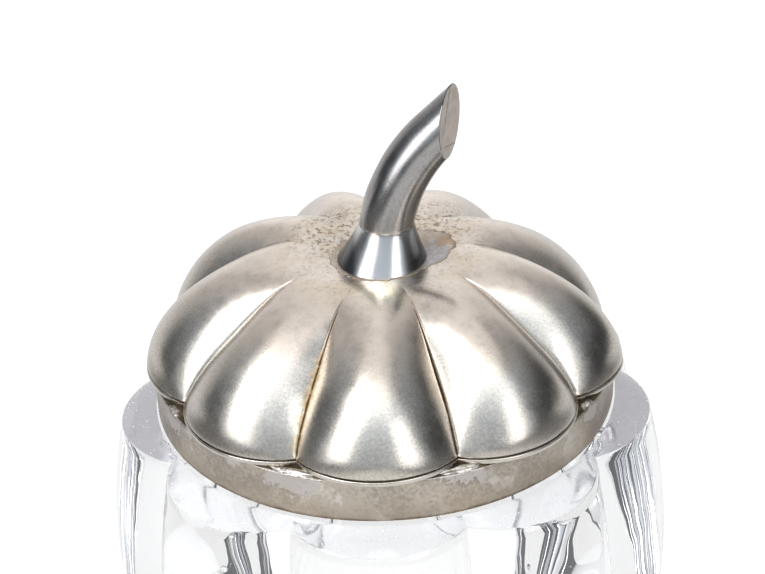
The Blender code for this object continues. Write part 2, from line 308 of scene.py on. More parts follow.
class Work:
    """A node tree with short calls that add nodes and link them."""

    def __init__(self, tree):
        self.tree = tree

    def add(self, kind, inputs=None, **changes):
        made = self.tree.nodes.new(kind)
        for key, value in changes.items():
            setattr(made, key, value)
        for key, value in (inputs or {}).items():
            self.put(value, made.inputs[key])
        return made

    def put(self, value, socket):
        if isinstance(value, Field):
            value = value.socket
        if isinstance(value, bpy.types.NodeSocket):
            self.tree.links.new(value, socket)
        else:
            socket.default_value = value

    def field(self, kind, inputs=None, output=0, **changes):
        return Field(self, self.add(kind, inputs, **changes).outputs[output])

    def stored(self, name, kind):
        """A named attribute of the geometry."""
        inputs = {"Name": name}
        return self.field("GeometryNodeInputNamedAttribute", inputs, data_type=kind, output="Attribute")

    def parts(self, vector):
        split = self.add("ShaderNodeSeparateXYZ", {"Vector": vector})
        return [Field(self, split.outputs[axis]) for axis in "XYZ"]

    def vector(self, x, y, z):
        return self.field("ShaderNodeCombineXYZ", {"X": x, "Y": y, "Z": z})

    def noise(self, vector, scale, detail=2.0, roughness=0.5):
        inputs = {"Vector": vector, "Scale": scale, "Detail": detail, "Roughness": roughness}
        return self.field("ShaderNodeTexNoise", inputs, output="Fac")

    def ramp(self, value, low, high, start=0.0, end=1.0):
        """A smooth step from start to end as the value goes from low to high."""
        inputs = {"Value": value, "From Min": low, "From Max": high, "To Min": start, "To Max": end}
        made = self.add("ShaderNodeMapRange", inputs, interpolation_type="SMOOTHSTEP")
        return Field(self, made.outputs["Result"])

    def blend(self, factor, first, second):
        """A colour between two colours."""
        made = self.add("ShaderNodeMix", data_type="RGBA")
        for index, value in ((0, factor), (6, first), (7, second)):
            self.put((*value, 1.0) if isinstance(value, tuple) else value, made.inputs[index])
        return Field(self, made.outputs[2])

    def bump(self, height, distance, strength=1.0, normal=None):
        inputs = {"Height": height, "Distance": distance, "Strength": strength}
        if normal is not None:
            inputs["Normal"] = normal
        return self.field("ShaderNodeBump", inputs)


def named_inputs(tree, inputs):
    """Adds the tree's interface and returns its inputs' fields by name."""
    for name, kind in inputs.items():
        tree.interface.new_socket(name=name, in_out="INPUT", socket_type=kind)
    tree.interface.new_socket(name="Geometry", in_out="OUTPUT", socket_type="NodeSocketGeometry")
    work = Work(tree)
    group = work.add("NodeGroupInput")
    return work, {name: Field(work, group.outputs[name]) for name in inputs}


def finish_tree(work, geometry, material):
    """Ends a tree in Realize Instances and Set Material."""
    real = work.add("GeometryNodeRealizeInstances", {"Geometry": geometry})
    painted = work.add("GeometryNodeSetMaterial", {"Geometry": real.outputs[0]})
    work.put(material, painted.inputs["Material"])
    output = work.add("NodeGroupOutput")
    work.put(painted.outputs[0], output.inputs["Geometry"])


def run_tree(name, host_mesh, tree, values):
    """Runs the tree on a mesh and returns the result as a plain object with no modifier."""
    host = bpy.data.objects.new(name + "_host", host_mesh)
    bpy.context.scene.collection.objects.link(host)
    modifier = host.modifiers.new("Make", "NODES")
    modifier.node_group = tree
    sockets = {item.name: item.identifier for item in tree.interface.items_tree if item.in_out == "INPUT"}
    for key, value in values.items():
        modifier[sockets[key]] = value
    bpy.context.view_layer.update()
    evaluated = host.evaluated_get(bpy.context.evaluated_depsgraph_get())
    mesh = bpy.data.meshes.new_from_object(evaluated)
    mesh.name = name
    bpy.data.objects.remove(host)
    if not mesh.polygons:
        raise RuntimeError(f"{name} came out empty")
    return mesh


def facing_out(mesh):
    """Turns a closed mesh's faces outwards."""
    volume = 0.0
    points = mesh.vertices
    mesh.calc_loop_triangles()
    for triangle in mesh.loop_triangles:
        a, b, c = (points[i].co for i in triangle.vertices)
        volume += a.dot(b.cross(c))
    if volume < 0:
        mesh.flip_normals()


def show(name, mesh, sharp=35.0):
    """Links a mesh as a smooth object at the origin, with edges over that angle kept sharp."""
    mesh.shade_smooth()
    mesh.set_sharp_from_angle(angle=math.radians(sharp))
    obj = bpy.data.objects.new(name, mesh)
    bpy.context.scene.collection.objects.link(obj)
    return obj


def stand_for(obj, body, slot, *nodes):
    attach(obj, body)
    if nodes:
        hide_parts(*nodes)


# The lobed turning: a profile turned round Z, with round crests and sharp valleys.

WANDER_SPREAD = math.radians(18.0)

TURNING_INPUTS = {
    "Profile": "NodeSocketGeometry",
    "Lobes": "NodeSocketInt",
    "Steps": "NodeSocketInt",
    "Crowding": "NodeSocketFloat",
    "Crest radius": "NodeSocketFloat",
    "Valley radius": "NodeSocketFloat",
    "Groove depth": "NodeSocketFloat",
    "Groove width": "NodeSocketFloat",
    "Wave height": "NodeSocketFloat",
    "Wave size": "NodeSocketFloat",
    "Material": "NodeSocketMaterial",
}


def lobed_turning_tree(trims, wanders):
    """Crests follow the profile, and valleys sink from it along the profile's sink vectors."""
    tree = bpy.data.node_groups.new("Lobed turning", "GeometryNodeTree")
    work, given = named_inputs(tree, TURNING_INPUTS)
    profile, lobes, steps = given["Profile"], given["Lobes"], given["Steps"]
    crest, valley = given["Crest radius"], given["Valley radius"]

    rows = work.field("GeometryNodeAttributeDomainSize", {"Geometry": profile}, output="Point Count")
    columns = lobes * steps
    sizes = {"Size X": 1.0, "Size Y": 1.0, "Vertices X": columns + 1.0, "Vertices Y": rows}
    grid = work.field("GeometryNodeMeshGrid", sizes, output="Mesh")
    across, along, _ = work.parts(work.field("GeometryNodeInputPosition"))
    column = ((across + 0.5) * columns).math("ROUND")
    row = ((along + 0.5) * (rows - 1.0)).math("ROUND")

    lobe = (column / steps).floor()
    within = (column / steps - lobe) * 2.0 - 1.0
    half = math.pi / lobes.math("MAXIMUM", 1.0)
    off_crest = half * (within + given["Crowding"] * (within * math.pi).sine() / math.pi)
    angle = lobe * half * 2.0 + off_crest

    switch = work.add("GeometryNodeIndexSwitch", data_type="FLOAT")
    while len(switch.index_switch_items) < len(trims):
        switch.index_switch_items.new()
    work.put(lobe.math("MODULO", lobes), switch.inputs["Index"])
    for i, trim in enumerate(trims):
        switch.inputs[i + 1].default_value = trim
    own_crest = crest + Field(work, switch.outputs[0])

    chord, sagitta = valley * half.sine(), own_crest - valley * half.cosine()
    arc = (chord * chord + sagitta * sagitta) / (sagitta * 2.0)
    centre = own_crest - arc
    towards = centre * off_crest.cosine()
    outline = towards + (towards * towards - centre * centre + arc * arc).root()
    depth = (crest - outline) / (crest - valley)

    def of_row(name, kind):
        if name == "position":
            value = work.field("GeometryNodeInputPosition")
        else:
            value = work.stored(name, kind)
        inputs = {"Geometry": profile, "Value": value, "Index": row}
        return work.field("GeometryNodeSampleIndex", inputs, data_type=kind, domain="POINT")

    radius, _, height = work.parts(of_row("position", "FLOAT_VECTOR"))
    sink = of_row("sink", "FLOAT_VECTOR")
    sink_out, _, sink_up = work.parts(sink)
    face_out, _, face_up = work.parts(of_row("face", "FLOAT_VECTOR"))
    start = settings().dome.valley_start
    outer = ((radius - 0.015) / (crest - 0.015)).math("ADD", 0.0, clamp=True)
    inner = ((radius - start) / 0.004).math("ADD", 0.0, clamp=True)
    for at_angle, shoulder, edge in wanders:
        angle = angle + (outer * (edge - shoulder) + shoulder) * inner * angle.hill(at_angle, WANDER_SPREAD)

    ragged = work.noise(work.vector(radius * angle.sine(), radius * angle.cosine(), 0.0), 700.0, 3.0) - 0.5
    groove = ((half - off_crest.size()) * crest + ragged * 0.00012).hill(0.0, given["Groove width"])
    groove = groove * work.ramp(radius + ragged * 0.005, start + 0.0036, start + 0.0052)
    radius = radius - sink_out * depth - face_out * groove * given["Groove depth"]
    height = height - sink_up * depth - face_up * groove * given["Groove depth"]
    place = work.vector(radius * angle.sine(), radius * angle.cosine() * -1.0, height)
    wave = work.noise(place, 1.0 / given["Wave size"].math("MAXIMUM", 0.0001), 1.0) - 0.5
    wave = wave * given["Wave height"] * 4.0
    wave = wave * face_out.size().math("ADD", face_up.size()).math("MINIMUM", 1.0)
    radius, height = radius + face_out * wave, height + face_up * wave
    place = work.vector(radius * angle.sine(), radius * angle.cosine() * -1.0, height)

    sink_size = (sink_out * sink_out + sink_up * sink_up).root()
    shaped = grid
    for name, value in (
        ("valley", depth * (sink_size / (crest - valley)).math("MINIMUM", 1.0)),
        ("groove", groove),
        ("ground", of_row("ground", "FLOAT")),
    ):
        inputs = {"Geometry": shaped, "Name": name, "Value": value}
        shaped = work.field("GeometryNodeStoreNamedAttribute", inputs, data_type="FLOAT", domain="POINT")
    moved = work.field("GeometryNodeSetPosition", {"Geometry": shaped, "Position": place})
    merged = work.field("GeometryNodeMergeByDistance", {"Geometry": moved, "Distance": 0.000002})
    finish_tree(work, merged, given["Material"])
    return tree


def profile_mesh(rows):
    """A line of vertices, one for each row of the turning, with its sink, face and ground."""
    mesh = bpy.data.meshes.new("profile")
    mesh.from_pydata([(r, 0.0, z) for r, z, *_ in rows], [(i, i + 1) for i in range(len(rows) - 1)], [])
    for name, kind in (("sink", "FLOAT_VECTOR"), ("face", "FLOAT_VECTOR"), ("ground", "FLOAT")):
        mesh.attributes.new(name, kind, "POINT")
    layers = mesh.attributes
    for i, (_, _, sink, face, ground) in enumerate(rows):
        layers["sink"].data[i].vector = (sink[0], 0.0, sink[1])
        layers["face"].data[i].vector = (face[0], 0.0, face[1])
        layers["ground"].data[i].value = ground
    return mesh


def wanders():
    """The valleys that wander: their angle, and their turn on the shoulder and at the edge."""
    dome = settings().dome
    return list(zip(dome.wander_at, dome.wander_shoulder, dome.wander_edge))


def lobed_turning(name, rows, crest, valley, material, by_hand=False, **more):
    """by_hand adds the dome's uneven crests and wandering valleys."""
    outline = settings().outline
    trims = list(settings().dome.trims) if by_hand else [0.0] * outline.lobes
    values = {
        "Lobes": outline.lobes,
        "Steps": outline.steps,
        "Crowding": outline.crowding,
        "Crest radius": crest,
        "Valley radius": valley,
        "Groove depth": 0.0,
        "Groove width": 0.0003,
        "Wave height": 0.0,
        "Wave size": 0.01,
        "Material": material,
        **more,
    }
    mesh = run_tree(name, profile_mesh(rows), lobed_turning_tree(trims, wanders() if by_hand else []), values)
    facing_out(mesh)
    return mesh


def row(radius, z, sink=(0.0, 0.0), face=(0.0, 0.0), ground=0.0):
    return (radius, z, sink, face, ground)


# Shapes worked out from the sizes.


def at(angle, radius, z):
    return Vector((radius * math.sin(angle), -radius * math.cos(angle), z))


def smooth(value):
    value = min(max(value, 0.0), 1.0)
    return value * value * (3 - 2 * value)


def crown_z(radius):
    """Height of the dished crown at a small radius, where the valleys haven't begun."""
    dome = settings().dome
    height = dome.height * (1 - (radius / dome.radius) ** dome.side_power) ** (1 / dome.top_power)
    return DOME_LOW.z + height - dome.dish_depth * math.exp(-((radius / dome.dish_radius) ** 2))


def dome_row(dome, turn_angle, inwards):
    """One row of the dome's profile: 0 at the crown, a quarter turn at the edge."""
    radius = dome.radius * math.sin(turn_angle) ** (2 / dome.side_power)
    height = dome.height * max(math.cos(turn_angle), 0.0) ** (2 / dome.top_power)
    out = dome.side_power * (radius / dome.radius) ** (dome.side_power - 1) / dome.radius
    up = dome.top_power * (height / dome.height) ** (dome.top_power - 1) / dome.height
    face = Vector((out, up)).normalized()
    sunk = smooth((radius - dome.valley_start) / (dome.valley_full - dome.valley_start))
    sunk *= (1 + dome.swell * math.sin(2 * turn_angle)) * (dome.radius - dome.valley_radius)
    dish = dome.dish_depth * math.exp(-((radius / dome.dish_radius) ** 2))
    z = DOME_LOW.z + height - dish - face.y * inwards
    calm = smooth(math.cos(turn_angle) / 0.2)
    return row(radius - face.x * inwards, z, face * sunk, face * calm)


def barrel_radius(jar, z):
    """Crest radius of the jar's barrel side at height z."""
    if z >= jar.bulge_z:
        rise = (z - jar.bulge_z) / (jar.rim_z - jar.bulge_z)
        return jar.bulge_radius - (jar.bulge_radius - jar.rim_radius) * rise**2
    drop = (jar.bulge_z - z) / jar.bulge_z
    return jar.base_radius + (jar.bulge_radius - jar.base_radius) * (1 - drop**2.2) ** (1 / 1.4)


def arc_rows(centre_r, centre_z, radius, start, end, steps, **more):
    """Rows along an arc of the profile, by its angles in degrees."""
    rows = []
    for i in range(steps + 1):
        a = math.radians(start + (end - start) * i / steps)
        rows.append(row(centre_r + radius * math.cos(a), centre_z + radius * math.sin(a), **more))
    return rows


def loft(name, rings, closed_tube=False):
    """One closed mesh through rings of equal length; a ring of one point is a pole."""
    bm = bmesh.new()
    loops = [[bm.verts.new(point) for point in ring] for ring in rings]
    pairs = list(zip(loops, loops[1:]))
    if closed_tube:
        pairs.append((loops[-1], loops[0]))
    for low, high in pairs:
        for i in range(max(len(low), len(high))):
            corners = [low[i % len(low)], low[(i + 1) % len(low)]]
            corners += [high[(i + 1) % len(high)], high[i % len(high)]]
            bm.faces.new(list(dict.fromkeys(corners)))
    if not closed_tube:
        for loop in (loops[0], loops[-1]):
            if len(loop) > 1:
                bm.faces.new(loop)
    bmesh.ops.recalc_face_normals(bm, faces=bm.faces)
    mesh = bpy.data.meshes.new(name)
    bm.to_mesh(mesh)
    bm.free()
    return mesh


def full_turn(steps):
    return [math.tau * i / steps for i in range(steps)]


# Finishes.


def new_finish(name, colour, roughness, metallic=1.0):
    """A material with its shader; returns the node tree's short calls, the shader and the material."""
    made = bpy.data.materials.new(name)
    made.use_nodes = True
    work = Work(made.node_tree)
    shader = made.node_tree.nodes["Principled BSDF"]
    shader.inputs["Base Color"].default_value = (*colour, 1.0)
    shader.inputs["Roughness"].default_value = roughness
    shader.inputs["Metallic"].default_value = metallic
    return work, shader, made


def scaled(colour, by):
    return tuple(part * by for part in colour)


def place_of(work):
    return work.field("ShaderNodeTexCoord", output="Object")


def attribute(work, name):
    return work.field("ShaderNodeAttribute", attribute_name=name, output="Fac")


CRYSTAL_IOR = 1.52
AIR_IN_CRYSTAL_IOR = 0.66
DEEP_BOUNCES = 3.5
DEEP_GLOW = 0.05


def crystal():
    work, shader, made = new_finish("crystal", (0.995, 0.998, 1.0), 0.0, 0.0)
    shader.inputs["Transmission Weight"].default_value = 1.0
    shader.inputs["IOR"].default_value = CRYSTAL_IOR
    place = place_of(work)
    ripple = work.noise(place, 160.0, 1.0)
    work.put(work.bump(ripple, 0.00012, 0.5), shader.inputs["Normal"])
    paint_glow_on_deep_paths(work, shader)
    return made


def paint_glow_on_deep_paths(work, shader):
    """Painted light: makes the crystal glow faintly on paths that have turned many times inside it, so that
    they don't go black.
    """
    depth = work.field("ShaderNodeLightPath", output="Ray Depth")
    shader.inputs["Emission Color"].default_value = (0.93, 0.94, 1.0, 1.0)
    # A painted glow on paths deeper than DEEP_BOUNCES bounces.
    work.put(depth.math("GREATER_THAN", DEEP_BOUNCES) * DEEP_GLOW, shader.inputs["Emission Strength"])


def ground_crystal():
    """The flat face ground on the rim: hazy, with painted shade that greys it towards the sides, and the
    wheel's fine marks.
    """
    clear, grey = (0.93, 0.93, 0.95), (0.38, 0.37, 0.41)
    work, shader, made = new_finish("ground_crystal", clear, 0.12, 0.0)
    shader.inputs["Transmission Weight"].default_value = 0.7
    shader.inputs["IOR"].default_value = CRYSTAL_IOR
    place = place_of(work)
    x, y, z = work.parts(place)
    haze = work.noise(place, 420.0, 3.0)
    # Painted shade: the rim turns grey towards its left and right sides by its place.
    greyer = work.ramp(x.size() + (haze - 0.5) * 0.006, 0.0215, 0.0265)
    work.put(work.blend(greyer, clear, grey), shader.inputs["Base Color"])
    paint_glow_on_deep_paths(work, shader)
    work.put(work.ramp(haze, 0.35, 0.75, 0.03, 0.16), shader.inputs["Roughness"])
    marks = work.noise(work.vector(x * 0.25, y, z), 2600.0, 3.0, 0.6)
    work.put(work.bump(marks, 0.00002, 0.5), shader.inputs["Normal"])
    return made


def air():
    """Air shut in the crystal."""
    _, shader, made = new_finish("air", (1.0, 1.0, 1.0), 0.0, 0.0)
    shader.inputs["Transmission Weight"].default_value = 1.0
    shader.inputs["IOR"].default_value = AIR_IN_CRYSTAL_IOR
    return made


def chip_white():
    work, shader, made = new_finish("chip_white", tuple(settings().finishes.chip), 0.35, 0.0)
    grain = work.noise(place_of(work), 9000.0)
    work.put(work.ramp(grain, 0.3, 0.7, 0.2, 0.5), shader.inputs["Roughness"])
    return made


def satin_silver():
    """The dome: satin, dark in its chased lines, stained beside one, filed and pitted round the knob, and
    with a painted reflection of the foot on the crown in front of it.
    """
    looks = settings().finishes
    colour, brown = tuple(looks.silver), tuple(looks.tarnish)
    work, shader, made = new_finish("satin_silver", colour, 0.3)
    place = place_of(work)
    x, y, z = work.parts(place)
    valley, groove = attribute(work, "valley"), attribute(work, "groove")
    reach = (x * x + y * y).root()

    def patch(centre_x, centre_y, wide, deep):
        return (x - centre_x).hill(0.0, wide) * (y - centre_y).hill(0.0, deep)

    cloud = work.noise(place, 170.0, 4.0, 0.6)
    patchy = work.noise(place, 620.0, 3.0, 0.6)
    grain = work.noise(place, 3400.0, 3.0, 0.75)
    pits = work.noise(place, 1900.0, 3.0, 0.6)
    film = work.blend(work.ramp(cloud * 0.3 + grain * 0.7, 0.38, 0.62), scaled(colour, 0.76), colour)

    crown = work.ramp(z, DOME_LOW.z + 0.0065, DOME_LOW.z + 0.0115)
    film = work.blend(crown * work.ramp(patchy, 0.3, 0.6, 0.5, 1.0), film, (0.84, 0.745, 0.665))
    beside = patch(-0.0080, -0.0215, 0.0050, 0.0060)
    stained = work.ramp(valley + (patchy - 0.5) * 0.6, 0.80, 1.02) * work.ramp(beside, 0.15, 0.6)
    film = work.blend(stained * 0.75, film, tuple(looks.stain))
    tarnished = work.ramp(groove + (patchy - 0.5) * 0.6, 0.50, 0.85)
    film = work.blend(tarnished * 0.85, film, brown)

    filed = work.ramp(patch(-0.0062, 0.0092, 0.0026, 0.0030), 0.35, 0.6)
    pitted = patch(0.0070, 0.0088, 0.0050, 0.0042).math("MAXIMUM", patch(-0.0068, 0.0060, 0.0028, 0.0040))
    near_knob = work.ramp(reach, 0.0150, 0.0070)
    behind = near_knob * work.ramp(y, -0.001, 0.005)
    worked = (near_knob * 0.42 + behind * 0.4 + pitted * 0.9 + stained * 0.5).math("MINIMUM", 1.0)
    holes = work.ramp(pits, 0.45, 0.38) * worked
    film = work.blend(work.ramp(cloud, 0.42, 0.60) * near_knob * 0.5, film, tuple(looks.stain))
    film = work.blend(holes * 0.75, film, scaled(brown, 1.6))
    flecks = work.ramp(pits, 0.56, 0.62) * worked
    film = work.blend(flecks * 0.8, film, (0.86, 0.81, 0.75))
    # Painted reflection: a pale yellow patch on the crown in front of the foot stands for the foot's
    # reflection there, and is a little less rough.
    painted_foot_reflection = patch(0.0006, -0.0088, 0.0017, 0.0026)
    film = work.blend(painted_foot_reflection, film, (1.0, 0.95, 0.74))
    work.put(film, shader.inputs["Base Color"])

    rough = work.ramp(cloud * 0.6 + patchy * 0.4, 0.35, 0.65, 0.23, 0.30)
    rough = rough + worked * 0.10 + stained * 0.08 - painted_foot_reflection * 0.08
    work.put(rough, shader.inputs["Roughness"])

    hatch = ((x * 0.90 - y * 0.45) * 17000.0 + (patchy - 0.5) * 9.0).sine()
    sweeps = work.noise(work.vector(x * 900.0, y * 220.0, z * 900.0), 1.0, 3.0, 0.6)
    height = grain * 0.5 + sweeps * 0.35 + (pits * 3.0 - holes * 2.0) * worked + hatch * filed * 2.6
    work.put(work.bump(height, 0.00002, 0.6), shader.inputs["Normal"])
    return made


def plate_silver():
    """The sheet's sawn edge: bright where it is rubbed, with brown left in its corners."""
    looks = settings().finishes
    work, shader, made = new_finish("plate_silver", tuple(looks.silver), 0.24)
    place = place_of(work)
    valley = attribute(work, "valley")
    cloud = work.noise(place, 380.0, 4.0, 0.6)
    film = work.blend(work.ramp(cloud, 0.36, 0.64), scaled(looks.silver, 0.8), tuple(looks.silver))
    stained = work.ramp(valley + (cloud - 0.5) * 0.5, 0.75, 1.05)
    film = work.blend(stained * 0.65, film, scaled(looks.tarnish, 1.8))
    work.put(film, shader.inputs["Base Color"])
    work.put(work.ramp(cloud, 0.3, 0.7, 0.16, 0.34), shader.inputs["Roughness"])
    grain = work.noise(place, 2600.0, 3.0, 0.6)
    work.put(work.bump(grain, 0.00002, 0.4), shader.inputs["Normal"])
    return made


def worn_silver():
    """The band: coarse satin, browner downwards, with solder run down from the notches."""
    looks = settings().finishes
    colour, brown = tuple(looks.band), tuple(looks.tarnish)
    work, shader, made = new_finish("worn_silver", colour, 0.36)
    place = place_of(work)
    x, y, z = work.parts(place)
    notch = attribute(work, "groove")
    level = (z - BAND_LOW.z) / (BAND_HIGH.z - BAND_LOW.z)
    cloud = work.noise(place, 210.0, 4.0, 0.62)
    patch = work.noise(work.vector(x, y, z * 0.8), 330.0, 3.0, 0.7)
    grain = work.noise(place, 2200.0, 3.0, 0.7)
    rings = work.noise(work.vector(x * 180.0, y * 180.0, z * 6500.0), 1.0, 3.0, 0.6)
    film = work.blend(work.ramp(cloud * 0.5 + grain * 0.5, 0.4, 0.6), scaled(colour, 0.66), colour)
    browner = work.ramp(level + (cloud - 0.5) * 0.8, 0.75, 0.05, 0.0, 0.55)
    film = work.blend(browner, film, (0.42, 0.345, 0.255))
    lighter = work.ramp(patch, 0.54, 0.64) * work.ramp(level, 0.1, 0.6, 0.4, 1.0)
    film = work.blend(lighter * 0.6, film, (0.80, 0.75, 0.70))
    run = patch * 0.6 + grain * 0.4 + notch * work.ramp(level, 0.25, 0.95) * 0.34
    smeared = work.ramp(run, 0.645, 0.70)
    film = work.blend(smeared * 0.8, film, (0.60, 0.55, 0.52))
    film = work.blend(run.hill(0.665, 0.012) * notch * 0.8, film, brown)
    browned = work.ramp(level + (patch - 0.5) * 0.16, 0.10, 0.01)
    film = work.blend(browned * 0.85, film, brown)
    work.put(film, shader.inputs["Base Color"])
    rough = work.ramp(rings * 0.4 + cloud * 0.6, 0.35, 0.65, 0.30, 0.44) + lighter * 0.12 + smeared * 0.08
    work.put(rough, shader.inputs["Roughness"])
    scuffs = work.noise(work.vector(x, y, z * 0.22), 3400.0, 2.0, 0.5)
    height = rings * 0.7 + grain * 0.6 + work.ramp(scuffs, 0.5, 0.7) * lighter * 1.5 + smeared * 2.0
    work.put(work.bump(height, 0.00002, 0.6), shader.inputs["Normal"])
    return made


def polished_silver():
    """The knob: polished, with hairline scratches and a faint warm film, and on the foot painted shade at its
    two sides and a painted highlight down its middle.
    """
    looks = settings().finishes
    colour = tuple(looks.clean_silver)
    work, shader, made = new_finish("polished_silver", colour, 0.22)
    place = place_of(work)
    x, y, z = work.parts(place)
    cloud = work.noise(place, 240.0, 3.0, 0.6)
    grain = work.noise(place, 3600.0, 3.0, 0.7)
    film = work.blend(work.ramp(cloud * 0.4 + grain * 0.6, 0.40, 0.60), scaled(colour, 0.78), colour)
    on_foot = work.ramp(z, FOOT_HIGH.z + 0.0006, FOOT_HIGH.z - 0.0004)
    # Painted shade: the foot's two sides are darkened by their place.
    sides = work.ramp((x - 0.0006).size() + (cloud - 0.5) * 0.001, 0.0024, 0.0038) * on_foot
    film = work.blend(sides * 0.8, film, (0.13, 0.135, 0.14))
    # Painted highlight: a pale band down the middle of the foot.
    bright = on_foot * work.ramp((x - 0.0006).size(), 0.0036, 0.0026)
    film = work.blend(bright * 0.7, film, (0.78, 0.76, 0.75))
    work.put(film, shader.inputs["Base Color"])
    work.put(work.ramp(cloud, 0.3, 0.7, 0.19, 0.25), shader.inputs["Roughness"])
    hairs = work.noise(work.vector(x * 900.0, y * 900.0, z * 5200.0), 1.0, 3.0, 0.6)
    work.put(work.bump(hairs * 0.9 + grain * 0.6, 0.000014, 0.5), shader.inputs["Normal"])
    return made


def filed_end():
    """The stalk's cut end: matt beige with the file's marks."""
    looks = settings().finishes
    work, shader, made = new_finish("filed_end", tuple(looks.cut), 0.5)
    place = place_of(work)
    x, y, z = work.parts(place)
    cloud = work.noise(place, 700.0, 3.0, 0.6)
    film = work.blend(work.ramp(cloud, 0.3, 0.7), scaled(looks.cut, 0.85), tuple(looks.cut))
    work.put(film, shader.inputs["Base Color"])
    marks = work.noise(work.vector(x * 400.0, y * 400.0, z * 4200.0), 1.0, 3.0, 0.6)
    work.put(work.ramp(marks, 0.3, 0.7, 0.42, 0.55), shader.inputs["Roughness"])
    work.put(work.bump(marks, 0.00003, 0.5), shader.inputs["Normal"])
    return made


def solder_look():
    """Filed solder round the foot, with burnt flux and a grey glaze where it spilt."""
    looks = settings().finishes
    colour = tuple(looks.solder)
    work, shader, made = new_finish("solder", colour, 0.45)
    place = place_of(work)
    x, y, z = work.parts(place)
    edge = attribute(work, "edge")
    cloud = work.noise(place, 420.0, 4.0, 0.65)
    pits = work.noise(place, 2100.0, 3.0, 0.6)
    film = work.blend(work.ramp(cloud, 0.36, 0.64), scaled(colour, 0.7), colour)
    wobble = (cloud - 0.5) * 0.0035
    glazed = (x - 0.0067 + wobble).hill(0.0, 0.0021) * (y + 0.0002 + wobble).hill(0.0, 0.0032)
    glazed = work.ramp(glazed, 0.25, 0.55)
    burnt = (x - 0.0078 + wobble).hill(0.0, 0.0014) * (y - 0.0024 - wobble).hill(0.0, 0.0016)
    burnt = work.ramp(burnt, 0.25, 0.6)
    glaze = work.blend(work.ramp(pits, 0.40, 0.60), scaled(looks.residue, 0.7), tuple(looks.residue))
    film = work.blend(glazed * 0.8, film, glaze)
    film = work.blend(burnt * 0.7, film, tuple(looks.amber))
    rim = work.ramp(edge + (pits - 0.5) * 0.3, 0.86, 1.0)
    film = work.blend(rim * 0.75, film, scaled(looks.tarnish, 1.5))
    work.put(film, shader.inputs["Base Color"])
    flux = glazed.math("MAXIMUM", burnt)
    work.put(1.0 - flux * 0.5, shader.inputs["Metallic"])
    work.put(0.46 - flux * 0.16, shader.inputs["Roughness"])
    work.put(work.bump(pits + cloud, 0.00006, 0.6), shader.inputs["Normal"])
    return made


def seam_tarnish_and_shade():
    """Tarnish and old flux packed into the seams, dark enough to be painted shade in the gaps between the
    dome, the plate and the band as well.
    """
    looks = settings().finishes
    work, shader, made = new_finish("seam_tarnish_and_shade", tuple(looks.tarnish), 0.6, 0.6)
    cloud = work.noise(place_of(work), 900.0, 3.0, 0.6)
    dark = scaled(looks.tarnish, 0.35)
    work.put(work.blend(work.ramp(cloud, 0.4, 0.75), dark, tuple(looks.tarnish)), shader.inputs["Base Color"])
    return made


def tack_silver():
    """Small runs and crumbs of solder: bright tops, dull sides."""
    looks = settings().finishes
    work, shader, made = new_finish("tack_silver", tuple(looks.solder), 0.35)
    cloud = work.noise(place_of(work), 1500.0, 3.0, 0.6)
    film = work.blend(work.ramp(cloud, 0.35, 0.6), scaled(looks.solder, 0.45), (0.80, 0.75, 0.69))
    work.put(film, shader.inputs["Base Color"])
    work.put(work.bump(cloud, 0.00004, 0.5), shader.inputs["Normal"])
    return made


# Jar.


class JarOperator(bpy.types.Operator):
    """What the operators share: each makes its pieces and reports success."""

    bl_options = {"REGISTER", "UNDO"}

    def execute(self, context):
        self.make()
        return {"FINISHED"}


class MELONJAR_OT_crystal(JarOperator):
    """Makes the crystal jar: lobed barrel, ground rim, round neck and well, in one solid"""

    bl_idname = "melonjar.crystal"
    bl_label = "Crystal jar"

    def make(self):
        jar = settings().jar
        rows = [row(0.0, 0.0), row(jar.base_flat, 0.0)]
        levels = 44
        for i in range(levels + 1):
            z = (jar.rim_z - jar.arris) * (i / levels) ** 1.15
            grown = min(z / jar.bulge_z, 1.0)
            sunk = jar.base_valley + (jar.valley - jar.base_valley) * grown
            rows.append(row(barrel_radius(jar, z), z, (sunk, 0.0)))
        for inwards, down in ((0.3, 0.3), (1.0, 0.0)):
            radius, z = jar.rim_radius - jar.arris * inwards, jar.rim_z - jar.arris * down
            rows.append(row(radius, z, (jar.valley, 0.0), ground=1.0))
        inner, outer = jar.shoulder_radius, jar.rim_radius - jar.arris
        for i in range(1, 9):
            part = i / 8
            rows.append(
                row(
                    outer + (inner - outer) * part,
                    jar.rim_z + (jar.shoulder_z - jar.rim_z) * part,
                    (jar.valley * (1 - part), 0.0),
                    ground=1.0,
                )
            )
        fillet = 0.0003
        rows += arc_rows(jar.neck_radius + fillet, jar.shoulder_z + fillet, fillet, 270, 180, 4)
        lip = jar.lip
        rows += arc_rows(jar.neck_radius - lip, JAR_HIGH.z - lip, lip, 0, 90, 6)
        rows += arc_rows(jar.well_radius + lip, JAR_HIGH.z - lip, lip, 90, 180, 6)
        corner = jar.well_corner
        rows += arc_rows(jar.well_radius - corner, jar.well_floor + corner, corner, 0, -90, 14)
        rows.append(row(0.0, jar.well_floor))
        mesh = lobed_turning("crystal_jar", rows, jar.rim_radius, jar.rim_radius - jar.valley, crystal())
        mesh.materials.append(ground_crystal())
        ground = mesh.attributes["ground"].data
        for face in mesh.polygons:
            if all(ground[i].value > 0.5 for i in face.vertices):
                face.material_index = len(mesh.materials) - 1
        stand_for(show("crystal_jar", mesh, 28.0), "jar", "crystal", "jar_body")


# Small things scattered over a surface.

SCATTER_INPUTS = {
    "Surface": "NodeSocketGeometry",
    "Density": "NodeSocketFloat",
    "Seed": "NodeSocketInt",
    "Smallest": "NodeSocketFloat",
    "Largest": "NodeSocketFloat",
    "Flatness": "NodeSocketFloat",
    "Length": "NodeSocketFloat",
    "Material": "NodeSocketMaterial",
}


